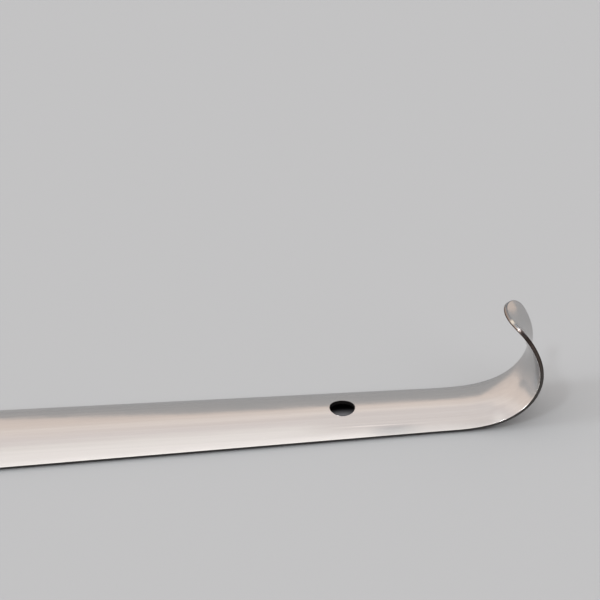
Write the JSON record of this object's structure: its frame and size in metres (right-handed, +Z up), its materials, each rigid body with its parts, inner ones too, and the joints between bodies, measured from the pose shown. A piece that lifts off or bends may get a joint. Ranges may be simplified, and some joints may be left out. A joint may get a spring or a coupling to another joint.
{
  "type": "shoehorn",
  "caption": "Long one-piece steel shoehorn: a tapered arched strip with a wide dished blade, a hanging hole and a curled hook at the handle end.",
  "frame": {"origin": "on the surface the shoehorn lies on, under the middle of its box", "axes": "+X along the strip from the blade to the hook, +Y across it, +Z up, on the side towards which the hook curls"},
  "size_m": [0.58, 0.0452, 0.0343],
  "materials": {
    "polished_steel": "polished stainless steel with fine lengthwise lines and darker sheared edges"
  },
  "bodies": {
    "root": {"shoehorn_strip": "polished_steel"}
  },
  "joints": []
}
